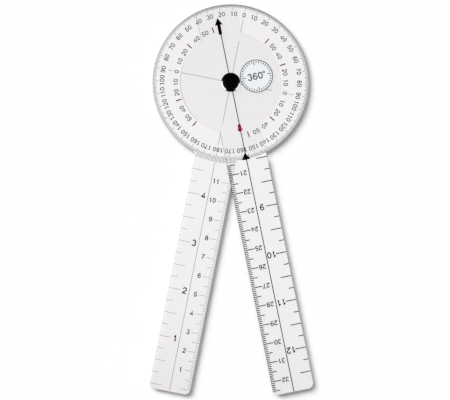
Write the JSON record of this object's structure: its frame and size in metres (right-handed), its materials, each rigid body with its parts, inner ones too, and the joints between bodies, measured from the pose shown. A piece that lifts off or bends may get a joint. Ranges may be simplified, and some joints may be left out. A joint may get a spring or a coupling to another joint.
{
  "type": "angle finder with arms",
  "caption": "Clear plastic angle finder: a full-circle degree dial with a fixed ruler arm, and a ruler arm that turns over it on a snap rivet.",
  "frame": {"origin": "on the pivot axis, at the flat back of the rivet cap, where the tool rests", "axes": "+Z along the pivot out of the printed face, +Y towards the dial's zero; the fixed arm lies along -Y"},
  "size_m": [0.1137, 0.2057, 0.0063],
  "materials": {
    "clear_dial": "clear polished sheet",
    "clear_arm": "clear polished sheet",
    "black_plastic": "moulded, glossy",
    "grey_ink": "screen-printed ink, dark grey",
    "black_ink": "screen-printed ink, black",
    "red_ink": "screen-printed ink, crimson"
  },
  "bodies": {
    "dial": {"dial_plate": "clear_dial", "rivet_stud": "black_plastic", "rivet_cap": "black_plastic", "degree_scale": "grey_ink", "red_ticks": "red_ink", "fixed_ruler": "grey_ink"},
    "arm": {"moving_arm": "clear_arm", "moving_ruler": "black_ink", "black_pointers": "black_ink", "red_pointer": "red_ink"}
  },
  "joints": [
    {"name": "arm_pivot", "type": "hinge", "parent": "dial", "child": "arm", "pos_m": [0, 0, 0.0036], "axis": [0, 0, 1], "continuous": true}
  ]
}
